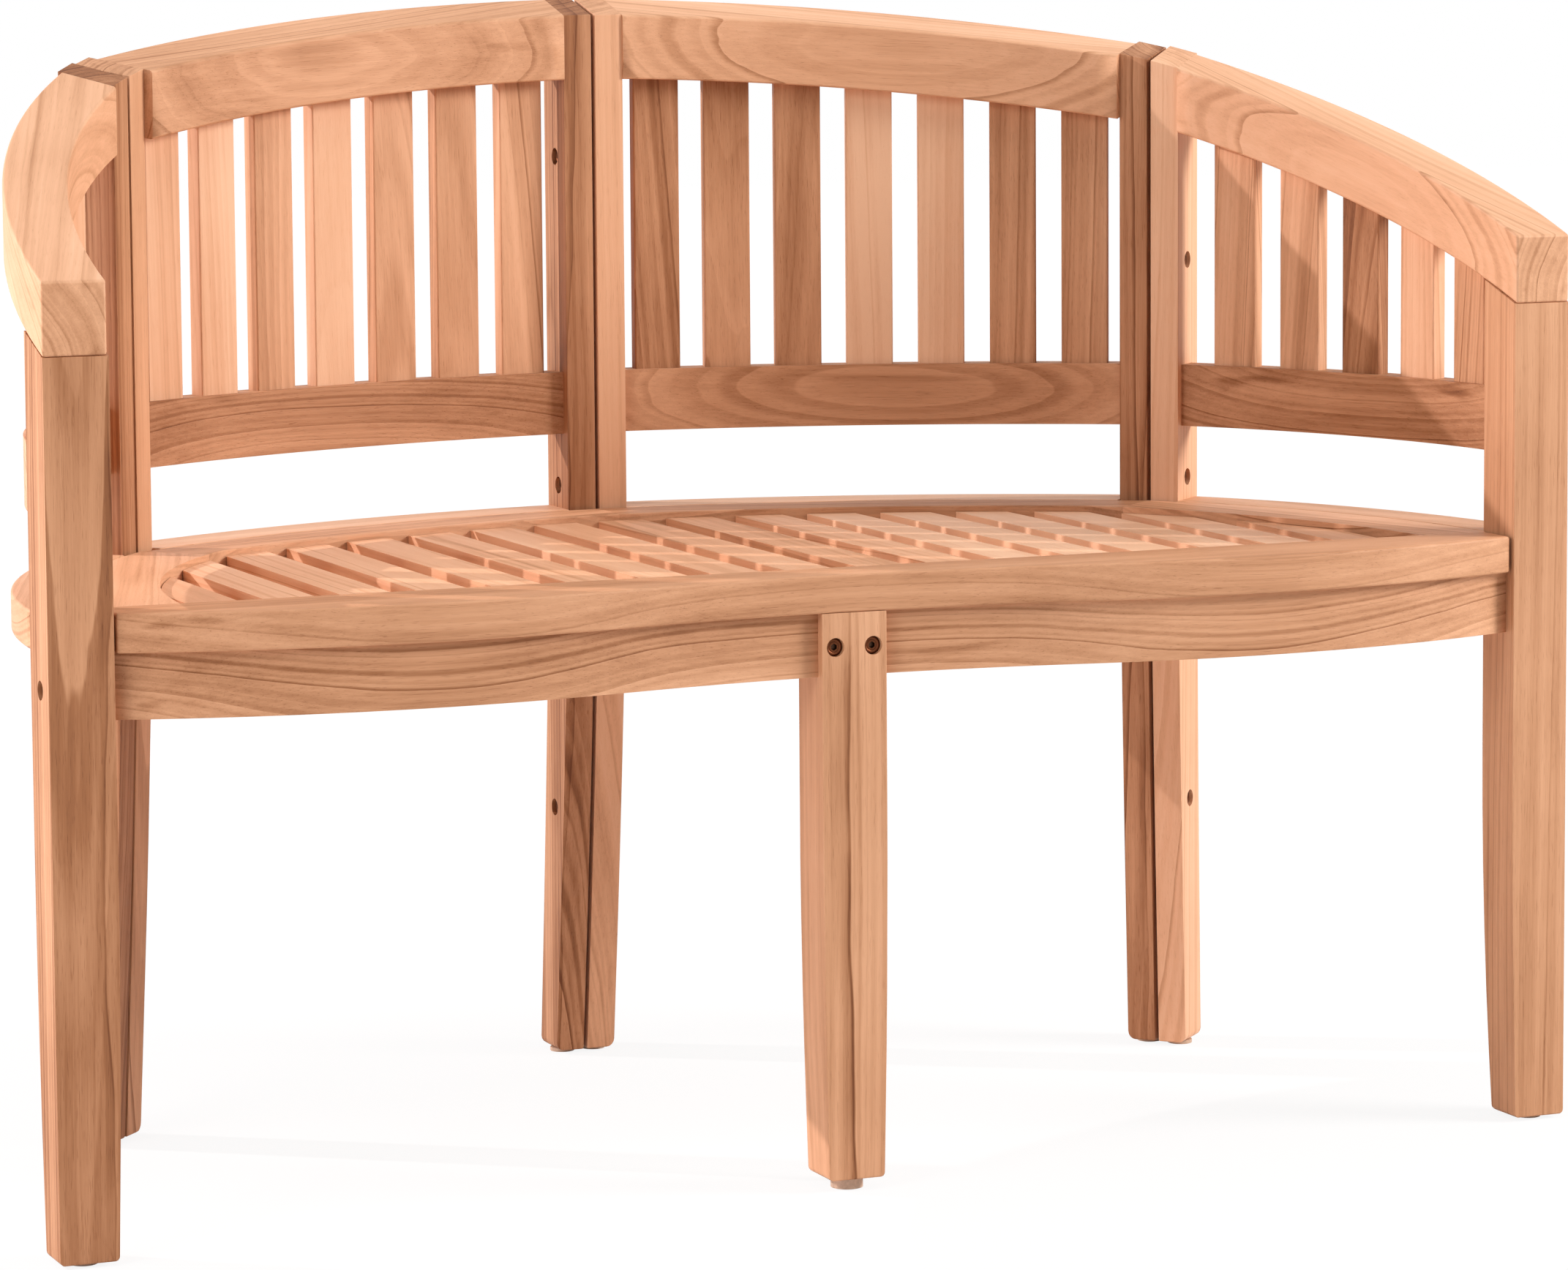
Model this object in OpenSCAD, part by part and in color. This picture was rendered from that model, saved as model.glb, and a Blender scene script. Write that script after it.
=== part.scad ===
// Teak garden bench for two: a half-moon slatted seat inside a curved back of four framed panels.
// X runs to the right of someone who faces the bench, Y to the rear, Z up from the floor.

/* [Overall] */
// Width over the two front legs
bench_w = 1200; // [1160:5:1260]
// Height of the arm tops at the front
arm_h = 686; // [670:2:710]
// Height of the rail tops where arm and back meet, at their front edge
corner_h = 815; // [800:2:830]
// Height of the back at its middle, at its front edge
back_h = 855; // [840:2:880]
// Height of the seat frame's top
seat_h = 456; // [440:2:470]

/* [Plan] */
// Distance of the corner between arm and back from the side of the bench, at the front of the posts
corner_in = 172; // [160:1:180]
// Rearward place of that corner
corner_y = 372; // [364:1:380]
// Angle that the corner posts turn outwards
corner_angle = 47; // [42:1:50]
// Front face of the two middle posts of the back
back_y = 514; // [504:1:524]
// Radius of the outer face of each arm
arm_r = 614; // [590:2:650]
// Radius of the outer face of each half of the back
back_r = 890; // [850:5:950]

/* [Posts and legs] */
// Width of each post of the back
post_w = 23.5; // [22:0.5:26]
// Depth of each post of the back
post_d = 46; // [42:1:48]
// Gap between two posts that are bolted together
post_gap = 3.4; // [2:0.2:5]
// Rearward splay of the middle posts' front face at the foot
middle_splay = 41; // [20:1:50]
// Rearward splay of the middle posts' rear face at the foot
middle_heel = 32; // [12:1:36]
// Splay of the corner posts' front face at the foot
corner_splay = 19; // [8:1:24]
// Splay of the corner posts' rear face at the foot
corner_heel = 10; // [0:1:14]
// How a post's splay grows towards the foot, from straight at 1 to a full curve at 2
splay_curve = 1.3; // [1:0.1:2]
// Width of a front leg
leg_w = 47; // [44:1:52]
// Depth of a front leg
leg_d = 46; // [44:1:52]
// Height below which the front legs taper
taper_h = 290; // [200:10:340]
// Taper of the inner face of a front leg
taper_side = 4.5; // [2:0.5:10]
// Taper of the rear face of a front leg
taper_rear = 10; // [4:1:15]
// Width of the centre leg
centre_w = 51; // [46:1:54]
// Depth of the centre leg
centre_d = 44; // [40:1:50]
// Taper of each side of the centre leg
centre_taper = 3.5; // [2:0.5:8]
// Taper of the rear face of the centre leg
centre_taper_rear = 4; // [2:1:12]
// Radius of the lower corners of a leg
foot_round = 4; // [2:0.5:6]
// Radius of a post's lower corner on the side of its rails
post_foot_round = 7; // [3:0.5:9]

/* [Rails] */
// Upright thickness of the arm and back top rails
top_t = 52; // [46:1:56]
// Width of an arm top rail
arm_w = 46; // [44:1:48]
// Height of the underside of the middle rails
mid_z = 517; // [505:1:530]
// Height of a middle rail
mid_h = 50; // [42:1:54]
// Thickness of a middle rail
mid_t = 24; // [20:1:28]
// Thickness of the seat frame and of the seat-level rails around it
frame_t = 28; // [24:1:32]
// Height of the curved aprons below the seat-level rails
apron_h = 52; // [44:1:60]
// Height of the two front aprons
front_apron_h = 47; // [42:1:56]
// Thickness of every apron
apron_t = 22; // [20:1:26]
// Inset of a curved apron from the outer face of the rail above it
apron_inset = 13; // [9:1:15]

/* [Back and arm slats] */
// Number of slats in each half of the back
back_slats = 7; // [5:1:7]
// Number of slats in each arm
arm_slats = 5; // [3:1:5]
// Width of a slat
slat_w = 38; // [30:1:42]
// Thickness of a slat
slat_t = 13; // [10:1:16]
// Gap between a post of the back and the slat next to it
back_slat_room = 15.2; // [12:0.2:24]
// Gap between an arm's post or leg and the slat next to it
arm_slat_room = 28.7; // [22:0.1:36]
// Depth that a slat enters the rails
slat_in = 10; // [6:1:14]

/* [Seat] */
// Forward bulge of the front edge in front of each sitter
lobe_out = 37; // [30:1:44]
// Distance of the furthest point of a bulge from the side of the bench
lobe_in = 280; // [260:5:300]
// Forward place of the front edge at the centre leg
dip_out = 5; // [3:1:12]
// Setback of the front edge where it meets a front leg
end_in = 3; // [2:1:6]
// Overhang of the front rail over the front aprons
front_lip = 8; // [5:1:10]
// Rear edge of the front rail
front_rail_y = 40; // [34:1:48]
// Width of the seat frame beside the arms
side_frame_w = 58; // [50:1:64]
// Width of the seat frame along the back
back_frame_w = 47; // [42:1:54]
// Clearance between the seat frame and what stands around it
seat_clear = 2; // [1.5:0.5:3]
// Width of a seat slat
seat_slat_w = 45; // [38:1:47]
// Distance of the middle of the outermost seat slats from the side of the bench
end_slat_in = 140.8; // [136:0.4:150]
// Thickness of a seat slat
seat_slat_t = 18; // [15:1:20]
// Drop of the slats below the top of the seat frame
slat_drop = 5; // [3:1:7]
// Gap at each end of a seat slat
slat_end_gap = 0.8; // [0.4:0.2:1.6]
// Width of a batten under the slats
batten_w = 40; // [30:1:50]
// Height of a batten under the slats
batten_h = 24; // [20:1:28]
// Rearward place of the front batten
front_batten_y = 150; // [130:5:180]
// Rearward place of the rear batten
rear_batten_y = 290; // [250:5:320]

/* [Joints and fittings] */
// Clearance on each face of a tenon in its mortise
fit = 0.2; // [0.1:0.05:0.4]
// Length of a rail's tenon
tenon_l = 15; // [10:1:18]
// Diameter of a bolt's shank
bolt_d = 8; // [6:1:8]
// Diameter of a bolt's head and of its sleeve nut
head_d = 13; // [12:0.5:14]
// Thickness of a bolt's head
head_t = 5; // [4:0.5:6]
// Depth of a bolt's counterbore
bore_t = 8; // [6.5:0.5:9]
// Height of the bolts in the legs
leg_bolt_z = 403; // [400:1:406]
// Height of the lowest bolt of each pair of posts
low_bolt_z = 207; // [190:1:225]
// Height of the bolt of each pair of posts just above the seat
seat_bolt_z = 474; // [468:1:480]
// Distance of the upper bolt of the middle posts below the top of the back
middle_bolt_down = 114; // [95:1:130]
// Distance of the upper bolt of the corner posts below the rail tops there
corner_bolt_down = 163; // [140:1:180]
// Thickness of a glide under a leg
glide_h = 3; // [2:1:8]
// Thickness of the glide under the centre leg
centre_glide_h = 9; // [6:1:12]
// Diameter of a glide under a post
glide_d = 20; // [14:1:22]
// Diameter of the glide under the centre leg
centre_glide_d = 24; // [16:1:28]

/* [Hidden] */
$fn = 180;
bore_fn = 40;
SEAT_SLATS = 17;

teak = "#dba57c";
teak_dark = "#c98f66";
steel = "#8c8377";
nylon = "#2b2724";

LEFT = -1;
RIGHT = 1;
BIG = 2000;

half_w = bench_w / 2;
corner_x = half_w - corner_in;
lobe_x = half_w - lobe_in;
seat_pitch = 2 * (half_w - end_slat_in) / (SEAT_SLATS - 1);
leg_in = half_w - leg_w;
pair_face = post_gap / 2 + post_w;
seat_low = seat_h - frame_t;
slat_top = seat_h - slat_drop;
slat_low = slat_top - seat_slat_t;
apron_z = seat_low - apron_h;
front_apron_z = seat_low - front_apron_h;
embed = 6;

// The corner between arm and back: its place, the way its posts face, and their rear corner.
corner = [corner_x, corner_y];
depth_dir = [sin(corner_angle), cos(corner_angle)];
to_arm = [cos(corner_angle), -sin(corner_angle)];
rear_corner = corner + post_d * depth_dir;

// Centre of the circle of radius r through p and q, on the right-hand side from p to q.
function unit(v) = v / norm(v);
function arc_centre(p, q, r) =
    (p + q) / 2 - sqrt(r * r - pow(norm(q - p) / 2, 2)) * unit([q[1] - p[1], p[0] - q[0]]);

arm_c = arc_centre([half_w, 0], rear_corner, arm_r);
back_c = arc_centre(rear_corner, [0, back_y + post_d], back_r);

// Slopes of the rail tops, which rise to the rear.
arm_slope = (corner_h - arm_h) / corner_y;
back_slope = (back_h - corner_h) / (back_y - corner_y);
function arm_top(y) = arm_h + arm_slope * y;
function back_top(y) = back_h + back_slope * (y - back_y);

// Front edge of the seat: two bulges and a dip between them, all arcs that run into each other.
lobe_end = leg_in - lobe_x;
lobe_r = (lobe_end * lobe_end + pow(lobe_out + end_in, 2)) / (2 * (lobe_out + end_in));
lobe_y = lobe_r - lobe_out;
dip_rise = lobe_y + dip_out;
dip_r = (lobe_x * lobe_x + dip_rise * dip_rise - lobe_r * lobe_r) / (2 * (lobe_out - dip_out));
function dip_edge(o) = lobe_x * (dip_r + o) / (lobe_r + dip_r);
function front_y(x, o) = abs(x) < dip_edge(o)
    ? sqrt(pow(dip_r + o, 2) - x * x) - dip_out - dip_r
    : lobe_y - sqrt(pow(lobe_r - o, 2) - pow(abs(x) - lobe_x, 2));

// Seat outline: outer edge beside the arm and along the back, then the edge of its opening.
arm_frame_r = arm_r - post_d - seat_clear;
back_frame_r = back_r - post_d - seat_clear;

// Splay of a post below the seat, as a share of its splay at the foot.
function splay_at(z) = z > seat_h ? 0 : pow((seat_h - z) / (seat_h - glide_h), splay_curve);
function post_mid(z, splay, heel) = post_d / 2 + splay_at(z) * (splay + heel) / 2;

// The origin is in the middle of the floor under the bench.
y_front = -lobe_out;
y_rear = back_y + post_d + middle_heel;
y_mid = (y_front + y_rear) / 2;

module sided(side) {
    if (side == LEFT) mirror([1, 0, 0]) children();
    else children();
}

module placed() translate([0, -y_mid, 0]) children();

// Everything under the plane z = top at y0, rising by slope to the rear.
near = -200;
far = 900;
module under(top, slope, y0) {
    near_top = top + slope * (near - y0);
    far_top = top + slope * (far - y0);
    rotate([90, 0, 90]) translate([0, 0, -BIG / 2]) linear_extrude(BIG)
        polygon([[near, -1], [far, -1], [far, far_top], [near, near_top]]);
}
module under_arm(dz) under(arm_h + dz, arm_slope, 0);
module under_back(dz) under(back_h + dz, back_slope, back_y);

// A sloping slab that is as thick as a top rail.
module slab(top, slope, y0) {
    near_top = top + slope * (near - y0);
    far_top = top + slope * (far - y0);
    rotate([90, 0, 90]) translate([0, 0, -BIG / 2]) linear_extrude(BIG)
        polygon([[near, near_top - top_t], [far, far_top - top_t], [far, far_top], [near, near_top]]);
}

// Frames of reference at the four ends of a panel's rails. X points from the post into the rail.
module at_corner() translate(corner) rotate(-corner_angle) children();
module at_arm_end() at_corner() translate([pair_face, 0]) children();
module at_back_end() at_corner() mirror([1, 0, 0]) translate([pair_face, 0]) children();
module at_middle_end() translate([pair_face, back_y]) children();
arm_mid_r = arm_r - post_d / 2;
leg_mid_x = arm_c[0] + sqrt(arm_mid_r * arm_mid_r - pow(leg_d - arm_c[1], 2));
module at_leg_end() translate([leg_mid_x + post_d / 2, leg_d]) rotate(90) children();

// Where a circle of radius r about c crosses the line through e along the depth of the corner posts.
function on_line(c, e, r) =
    let (v = e - c, b = v * depth_dir)
    e + (sqrt(b * b - v * v + r * r) - b) * depth_dir;
function angle_of(p, c) = atan2(p[1] - c[1], p[0] - c[0]);

// Plans of the stretches that the rails of a panel fill.
module beyond() translate([0, -BIG / 2]) square(BIG);
module arm_plan(y0) intersection() {
    at_arm_end() beyond();
    translate([0, y0]) square(BIG);
}
module back_plan() intersection() {
    at_back_end() beyond();
    translate([pair_face, 0]) square(BIG);
}
module ring(c, r, w) translate(c) difference() {
    circle(r);
    circle(r - w);
}
module arm_ring(inset, w, y0) intersection() {
    ring(arm_c, arm_r - inset, w);
    arm_plan(y0);
}
module back_ring(inset, w) intersection() {
    ring(back_c, back_r - inset, w);
    back_plan();
}

// One tenon, or its mortise when grow is the clearance. y and t are its place and thickness in depth.
module tenon(z0, z1, y, t, grow) translate([-tenon_l - grow, y - t / 2 - grow, z0 - grow])
    cube([tenon_l + grow + embed, t + 2 * grow, z1 - z0 + 2 * grow]);
apron_mid = post_d - apron_inset - apron_t / 2;
tenon_t = 12;
tenon_edge = 8;
seat_tenon_t = 24;
module top_tenon(z, grow)
    tenon(z - top_t + tenon_edge, z - tenon_edge, post_d / 2, tenon_t, grow);
module mid_tenon(grow)
    tenon(mid_z + tenon_edge, mid_z + mid_h - tenon_edge, post_d / 2, tenon_t, grow);
module seat_tenon(grow)
    tenon(seat_low + tenon_edge, seat_h - tenon_edge, post_d / 2, seat_tenon_t, grow);
module apron_tenon(grow)
    tenon(apron_z + tenon_edge, seat_low - tenon_edge, apron_mid, tenon_t, grow);
module low_tenons(grow) {
    mid_tenon(grow);
    seat_tenon(grow);
    apron_tenon(grow);
}

// Slats of the back and of an arm: each stands square to the panel's arc, let into both rails.
back_mid_r = back_r - post_d / 2;
back_from = angle_of(on_line(back_c, corner - pair_face * to_arm, back_mid_r), back_c);
back_to = acos((pair_face - back_c[0]) / back_mid_r);
arm_from = asin((leg_d - arm_c[1]) / arm_mid_r);
arm_to = angle_of(on_line(arm_c, corner + pair_face * to_arm, arm_mid_r), arm_c);
function spread(n, from, to, room, r) =
    let (end = (room + slat_w / 2) / r * 180 / PI)
    [for (i = [0:n - 1]) from + end + (to - from - 2 * end) * i / (n - 1)];
back_angles = spread(back_slats, back_from, back_to, back_slat_room, back_mid_r);
arm_angles = spread(arm_slats, arm_from, arm_to, arm_slat_room, arm_mid_r);

module slat_blank(c, r, a, grow) translate([c[0] + r * cos(a), c[1] + r * sin(a), 0]) rotate(a + 90)
    translate([-slat_w / 2 - grow, -slat_t / 2 - grow, mid_z + mid_h - slat_in - grow])
        cube([slat_w + 2 * grow, slat_t + 2 * grow, back_h]);
module back_slat_set(grow) intersection() {
    for (a = back_angles) slat_blank(back_c, back_mid_r, a, grow);
    under_back(slat_in + grow - top_t);
}
module arm_slat_set(grow) intersection() {
    for (a = arm_angles) slat_blank(arm_c, arm_mid_r, a, grow);
    under_arm(slat_in + grow - top_t);
}

// Bolts that hold two posts together, along X through the gap at x = 0.
function pair_spots(zs, splay, heel) = [for (z = zs) [0, post_mid(z, splay, heel), z]];
middle_spots = pair_spots([low_bolt_z, seat_bolt_z, back_h - middle_bolt_down], middle_splay, middle_heel);
corner_spots = pair_spots([low_bolt_z, seat_bolt_z, corner_h - corner_bolt_down], corner_splay, corner_heel);
hole_d = bolt_d + 2 * fit;
bore_d = head_d + 4 * fit;
module pair_holes(spots) for (p = spots) translate(p) rotate([0, 90, 0]) {
    translate([0, 0, -pair_face - 1]) cylinder(d = hole_d, h = 2 * pair_face + 2, $fn = bore_fn);
    for (s = [0, 180]) rotate([s, 0, 0]) translate([0, 0, pair_face - bore_t])
        cylinder(d = bore_d, h = bore_t + 1, $fn = bore_fn);
}

// A bolt along +Z from the inner end of its counterbore at z = 0: head above, shank of length l below.
socket_d = 6.9;
module bolt(l) {
    difference() {
        cylinder(d = head_d, h = head_t, $fn = bore_fn);
        translate([0, 0, head_t - 3]) cylinder(d = socket_d, h = 4, $fn = 6);
    }
    translate([0, 0, -l]) cylinder(d = bolt_d - 2, h = l + 1, $fn = bore_fn);
}
// Its sleeve nut from the other side, whose barrel takes the shank.
nut_l = 16;
module sleeve_nut() difference() {
    union() {
        cylinder(d = head_d, h = head_t / 2, $fn = bore_fn);
        translate([0, 0, -nut_l]) cylinder(d = bolt_d, h = nut_l + 1, $fn = bore_fn);
    }
    translate([0, 0, -nut_l - 1]) cylinder(d = bolt_d - 2 + 2 * fit, h = nut_l, $fn = bore_fn);
}
pair_shank = 2 * (pair_face - bore_t) - 3;

// Even heights from a bend down to a foot, without the foot itself.
function heights(bend, low, n) = [for (i = [0:n - 1]) bend - (bend - low) * i / n];

// Outline of a foot from its left side round two lower corners to its right side.
round_steps = 4;
edge_round = 1.5;
function rounding(r) = [for (i = [0:round_steps]) let (a = 90 * i / round_steps) r * [1 - sin(a), 1 - cos(a)]];
function foot_line(left, left_r, right, right_r, low) = concat(
    [for (i = [round_steps:-1:0]) [left, low] + rounding(left_r)[i]],
    [for (p = rounding(right_r)) [right - p[0], low + p[1]]]);

// Posts of the back, upright above the seat and splayed in a curve below it.
splay_steps = 8;
module post_blank(splay, heel, left_r, right_r) {
    zs = heights(seat_h, glide_h, splay_steps);
    front = [for (z = zs) [splay * splay_at(z), z]];
    rear = [for (i = [splay_steps - 1:-1:0]) [post_d + heel * splay_at(zs[i]), zs[i]]];
    foot_front = splay * splay_at(glide_h + edge_round);
    foot_rear = post_d + heel * splay_at(glide_h + foot_round);
    foot = foot_line(foot_front, edge_round, foot_rear, foot_round, glide_h);
    intersection() {
        rotate([90, 0, 90]) linear_extrude(post_w)
            polygon(concat([[0, BIG / 2]], front, foot, rear, [[post_d, BIG / 2]]));
        rotate([90, 0, 0]) translate([0, 0, -BIG / 2]) linear_extrude(BIG)
            polygon(concat([[post_w, BIG / 2], [0, BIG / 2]],
                foot_line(0, left_r, post_w, right_r, glide_h)));
    }
}
module middle_post(side) color(teak) placed() sided(side) difference() {
    intersection() {
        translate([post_gap / 2, back_y, 0])
            post_blank(middle_splay, middle_heel, edge_round, post_foot_round);
        under_back(0);
    }
    at_middle_end() {
        top_tenon(back_top(back_y + post_d / 2), fit);
        low_tenons(fit);
    }
    translate([0, back_y, 0]) pair_holes(middle_spots);
}
module corner_back_post(side) color(teak) placed() sided(side) difference() {
    intersection() {
        at_corner() translate([-pair_face, 0, 0])
            post_blank(corner_splay, corner_heel, post_foot_round, edge_round);
        under_back(0);
    }
    at_back_end() {
        top_tenon(back_top(corner_y + post_d / 2), fit);
        low_tenons(fit);
    }
    at_corner() pair_holes(corner_spots);
}
module corner_arm_post(side) color(teak) placed() sided(side) difference() {
    intersection() {
        at_corner() translate([post_gap / 2, 0, 0])
            post_blank(corner_splay, corner_heel, edge_round, post_foot_round);
        under_arm(0);
    }
    at_arm_end() {
        top_tenon(arm_top(corner_y), fit);
        low_tenons(fit);
    }
    at_corner() pair_holes(corner_spots);
}

// Front legs: outer and front faces upright, inner and rear faces tapering in a curve to the foot.
function taper(z, amount, foot) = z > taper_h ? 0 : amount * pow((taper_h - z) / (taper_h - foot), 2);
taper_steps = 6;
function upwards(zs) = [for (i = [len(zs) - 1:-1:0]) zs[i]];
leg_tenon_w = 24;
leg_tenon_d = 26;
leg_tenon_h = 22;
leg_tenon_root = 40;
module leg_tenon_block(grow) {
    x = leg_in + (leg_w - leg_tenon_w) / 2 - grow;
    y = (leg_d - leg_tenon_d) / 2 - grow;
    z = arm_h - top_t - leg_tenon_root;
    translate([x, y, z])
        cube([leg_tenon_w + 2 * grow, leg_tenon_d + 2 * grow, leg_tenon_root + leg_tenon_h + grow]);
}
module leg_blank() intersection() {
    zs = heights(taper_h, glide_h, taper_steps);
    foot_in = leg_in + taper(glide_h + foot_round, taper_side, glide_h);
    foot_rear = leg_d - taper(glide_h + foot_round, taper_rear, glide_h);
    rotate([90, 0, 0]) translate([0, 0, -leg_d - 1]) linear_extrude(leg_d + 2)
        polygon(concat([[half_w, BIG / 2], [leg_in, BIG / 2]],
            [for (z = zs) [leg_in + taper(z, taper_side, glide_h), z]],
            foot_line(foot_in, foot_round, half_w, foot_round, glide_h)));
    rotate([90, 0, 90]) linear_extrude(half_w + 1)
        polygon(concat([[leg_d, BIG / 2], [0, BIG / 2]],
            foot_line(0, edge_round, foot_rear, foot_round, glide_h),
            [for (z = upwards(zs)) [leg_d - taper(z, taper_rear, glide_h), z]]));
}
module front_leg(side) color(teak) placed() sided(side) difference() {
    union() {
        intersection() {
            leg_blank();
            under_arm(-top_t);
        }
        leg_tenon_block(0);
    }
    at_leg_end() low_tenons(fit);
    leg_end_tenon(fit);
    leg_bolt_hole();
}

// Centre leg, under the front rail, with an apron let into each side.
centre_front = -dip_out;
centre_rear = centre_front + centre_d;
function centre_half(z) = centre_w / 2 - taper(z, centre_taper, centre_glide_h);
function centre_back(z) = centre_rear - taper(z, centre_taper_rear, centre_glide_h);
module centre_blank() intersection() {
    zs = heights(taper_h, centre_glide_h, taper_steps);
    foot_z = centre_glide_h + foot_round;
    foot_half = centre_half(foot_z);
    rotate([90, 0, 0]) translate([0, 0, -BIG / 2]) linear_extrude(BIG)
        polygon(concat([for (z = zs) [-centre_half(z), z]],
            foot_line(-foot_half, foot_round, foot_half, foot_round, centre_glide_h),
            [for (z = upwards(zs)) [centre_half(z), z]],
            [[centre_w / 2, seat_low], [-centre_w / 2, seat_low]]));
    rotate([90, 0, 90]) translate([0, 0, -BIG / 2]) linear_extrude(BIG)
        polygon(concat([[centre_rear, seat_low], [centre_front, seat_low]],
            foot_line(centre_front, edge_round, centre_back(foot_z), foot_round, centre_glide_h),
            [for (z = upwards(zs)) [centre_back(z), z]]));
}
module front_centre_leg() color(teak) placed() difference() {
    centre_blank();
    for (side = [LEFT, RIGHT]) sided(side) {
        centre_end_tenon(fit);
        centre_bolt_hole();
    }
}

// Front aprons: they follow the seat's front edge from a front leg to the centre leg.
// The circles overlap by a hair where they run into each other, so that they cross at a clear point.
reach = 100;
hair = 0.01;
module front_region(o) {
    for (side = [LEFT, RIGHT]) translate([side * lobe_x, lobe_y]) circle(lobe_r - o);
    difference() {
        translate([-dip_edge(o), -reach]) square([2 * dip_edge(o), 2 * reach]);
        translate([0, -dip_out - dip_r]) circle(dip_r + o + hair);
    }
}
apron_leg_y = front_y(leg_in, front_lip) + apron_t / 2;
apron_centre_y = front_y(centre_w / 2, front_lip) + apron_t / 2;
module front_tenon(x, y, grow) {
    z = front_apron_z + tenon_edge - grow;
    h = front_apron_h - 2 * tenon_edge + 2 * grow;
    translate([x, y - tenon_t / 2 - grow, z]) cube([tenon_l + embed + grow, tenon_t + 2 * grow, h]);
}
module leg_end_tenon(grow) front_tenon(leg_in - embed, apron_leg_y, grow);
module centre_end_tenon(grow) front_tenon(centre_w / 2 - tenon_l - grow, apron_centre_y, grow);
dowel_in = 24;
dowel_d = 10;
dowel_l = apron_t - 4;
end_room = 3;
leg_shank = leg_w - bore_t + dowel_in + dowel_d - 2;
module leg_bolt_at() translate([half_w - bore_t, apron_leg_y, leg_bolt_z]) rotate([0, 90, 0]) children();
module leg_bolt_hole() leg_bolt_at() {
    cylinder(d = bore_d, h = bore_t + 1, $fn = bore_fn);
    depth = leg_shank + end_room;
    translate([0, 0, -depth]) cylinder(d = hole_d, h = depth + 1, $fn = bore_fn);
}
dowel_x = leg_in - dowel_in;
dowel_y = front_y(dowel_x, front_lip) + apron_t / 2;
module dowel_at() translate([dowel_x, dowel_y, leg_bolt_z]) rotate([90, 0, 0]) children();
centre_bolt_x = centre_w / 2 - tenon_l / 2 - end_room;
centre_shank = centre_d - 2 * bore_t - end_room;
module centre_bolt_at()
    translate([centre_bolt_x, centre_front + bore_t, leg_bolt_z]) rotate([90, 0, 0]) children();
module centre_nut_at()
    translate([centre_bolt_x, centre_rear - bore_t, leg_bolt_z]) rotate([-90, 0, 0]) children();
module centre_bolt_hole() {
    centre_bolt_at() {
        cylinder(d = bore_d, h = bore_t + 1, $fn = bore_fn);
        translate([0, 0, -centre_d]) cylinder(d = hole_d, h = centre_d + 1, $fn = bore_fn);
    }
    centre_nut_at() cylinder(d = bore_d, h = bore_t + 1, $fn = bore_fn);
}
module front_apron_plan() intersection() {
    difference() {
        front_region(front_lip);
        front_region(front_lip + apron_t);
    }
    translate([centre_w / 2, -reach]) square([leg_in - centre_w / 2, reach + leg_d]);
}
module front_apron(side) color(teak) placed() sided(side) difference() {
    union() {
        translate([0, 0, front_apron_z]) linear_extrude(front_apron_h) front_apron_plan();
        leg_end_tenon(0);
        centre_end_tenon(0);
    }
    leg_bolt_hole();
    centre_bolt_hole();
    dowel_at() cylinder(d = dowel_d + 2 * fit, h = dowel_l + 2 * fit, center = true, $fn = bore_fn);
}

// Top rails: arcs in plan between two sloping planes, as deep as the posts and flush with their tops.
module arm_top_rail(side) color(teak) placed() sided(side) difference() {
    union() {
        intersection() {
            linear_extrude(BIG / 2) arm_ring(0, arm_w, 0);
            slab(arm_h, arm_slope, 0);
        }
        at_arm_end() top_tenon(arm_top(corner_y), 0);
    }
    arm_slat_set(fit);
    leg_tenon_block(fit);
}
module back_top_rail(side) color(teak) placed() sided(side) difference() {
    union() {
        intersection() {
            linear_extrude(BIG / 2) back_ring(0, post_d);
            slab(back_h, back_slope, back_y);
        }
        at_back_end() top_tenon(back_top(corner_y + post_d / 2), 0);
        at_middle_end() top_tenon(back_top(back_y + post_d / 2), 0);
    }
    back_slat_set(fit);
}

// Middle rails, which carry the feet of the slats.
mid_inset = (post_d - mid_t) / 2;
module arm_mid_rail(side) color(teak) placed() sided(side) difference() {
    union() {
        translate([0, 0, mid_z]) linear_extrude(mid_h) arm_ring(mid_inset, mid_t, leg_d);
        at_arm_end() mid_tenon(0);
        at_leg_end() mid_tenon(0);
    }
    arm_slat_set(fit);
}
module back_mid_rail(side) color(teak) placed() sided(side) difference() {
    union() {
        translate([0, 0, mid_z]) linear_extrude(mid_h) back_ring(mid_inset, mid_t);
        at_back_end() mid_tenon(0);
        at_middle_end() mid_tenon(0);
    }
    back_slat_set(fit);
}

// Seat-level rails, flush with the posts and with the top of the seat.
module arm_seat_rail(side) color(teak) placed() sided(side) {
    translate([0, 0, seat_low]) linear_extrude(frame_t) arm_ring(0, post_d, leg_d);
    at_arm_end() seat_tenon(0);
    at_leg_end() seat_tenon(0);
}
module back_seat_rail(side) color(teak) placed() sided(side) {
    translate([0, 0, seat_low]) linear_extrude(frame_t) back_ring(0, post_d);
    at_back_end() seat_tenon(0);
    at_middle_end() seat_tenon(0);
}

// Curved aprons under the seat-level rails.
module arm_apron(side) color(teak) placed() sided(side) {
    translate([0, 0, apron_z]) linear_extrude(apron_h) arm_ring(apron_inset, apron_t, leg_d);
    at_arm_end() apron_tenon(0);
    at_leg_end() apron_tenon(0);
}
module back_apron(side) color(teak) placed() sided(side) {
    translate([0, 0, apron_z]) linear_extrude(apron_h) back_ring(apron_inset, apron_t);
    at_back_end() apron_tenon(0);
    at_middle_end() apron_tenon(0);
}

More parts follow.
